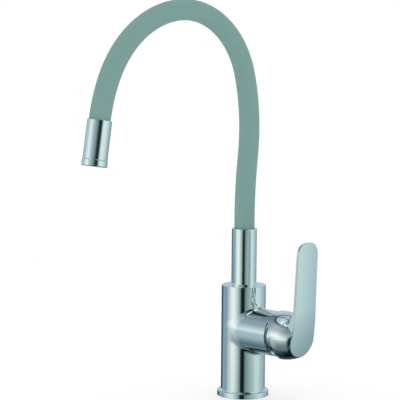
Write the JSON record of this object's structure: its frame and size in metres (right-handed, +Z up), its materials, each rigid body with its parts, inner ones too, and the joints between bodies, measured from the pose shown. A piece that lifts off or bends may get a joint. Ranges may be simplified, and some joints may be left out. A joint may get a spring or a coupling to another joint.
{
  "type": "kitchen mixer tap",
  "caption": "Kitchen mixer tap with a side cartridge barrel, an upright paddle lever and a bendable silicone hose spout that swivels on the body and ends in a small aerated head.",
  "frame": {"origin": "centre of the base ring's underside, on the deck's upper face", "axes": "+Z up along the body and the spout column, +X along the cartridge barrel towards the lever, -Y towards the spray head as stored"},
  "size_m": [0.117, 0.2444, 0.4794],
  "materials": {
    "chrome": "polished",
    "silicone": "matte",
    "brass": "satin",
    "steel": "satin",
    "black_rubber": "matte",
    "alumina": "satin",
    "grey_plastic": "satin",
    "white_plastic": "satin"
  },
  "bodies": {
    "body": {"body_casting": "chrome", "base_ring": "chrome", "base_seal": "black_rubber", "fixing_stud": "brass", "cartridge_base": "grey_plastic", "cartridge_seals": "black_rubber", "cartridge_housing": "grey_plastic", "fixed_disc": "alumina", "cartridge_nut": "brass", "dome_ring": "chrome", "retaining_screw": "steel", "swivel_washer": "white_plastic"},
    "clamp": {"clamp_gasket": "black_rubber", "clamp_plate": "steel", "clamp_nut": "brass"},
    "rotor": {"cartridge_rotor": "grey_plastic", "pivot_pin": "steel"},
    "disc": {"moving_disc": "alumina", "disc_carrier": "grey_plastic"},
    "lever": {"spindle": "steel", "handle": "chrome", "grub_screw": "steel", "screw_plug": "grey_plastic"},
    "spout": {"spout_column": "chrome", "swivel_nipple": "brass", "nipple_o_rings": "black_rubber", "swivel_bush": "white_plastic", "hose_ferrule": "brass", "hose_sleeve": "silicone", "hose_core": "steel", "water_tube": "white_plastic"},
    "head": {"head_ferrule": "brass", "head_sleeve": "chrome", "head_gasket": "black_rubber", "aerator_housing": "chrome", "aerator_insert": "grey_plastic"}
  },
  "joints": [
    {"name": "spout_swivel", "type": "hinge", "parent": "body", "child": "spout", "pos_m": [0, 0, 0.13], "axis": [0, 0, 1], "continuous": true},
    {"name": "spout_bend", "type": "hinge", "parent": "spout", "child": "head", "pos_m": [0, -0.0872, 0.3989], "axis": [1, 0, 0], "range_deg": [-35, 30], "deforming": ["hose_sleeve", "hose_core", "water_tube"]},
    {"name": "lever_turn", "type": "hinge", "parent": "body", "child": "rotor", "pos_m": [0.046, 0, 0.0705], "axis": [1, 0, 0], "range_deg": [-50, 50]},
    {"name": "lever_lift", "type": "hinge", "parent": "rotor", "child": "lever", "pos_m": [0.046, 0, 0.0705], "axis": [0, 1, 0], "range_deg": [0, 25]},
    {"name": "disc_slide", "type": "slide", "parent": "rotor", "child": "disc", "axis": [0, 0, 1], "range_m": [0, 0.0067]},
    {"name": "clamp_travel", "type": "slide", "parent": "body", "child": "clamp", "axis": [0, 0, 1], "range_m": [-0.01, 0.025]}
  ],
  "couplings": [
    {"joint": "disc_slide", "follows": "lever_lift", "m_per_rad": 0.01513}
  ]
}
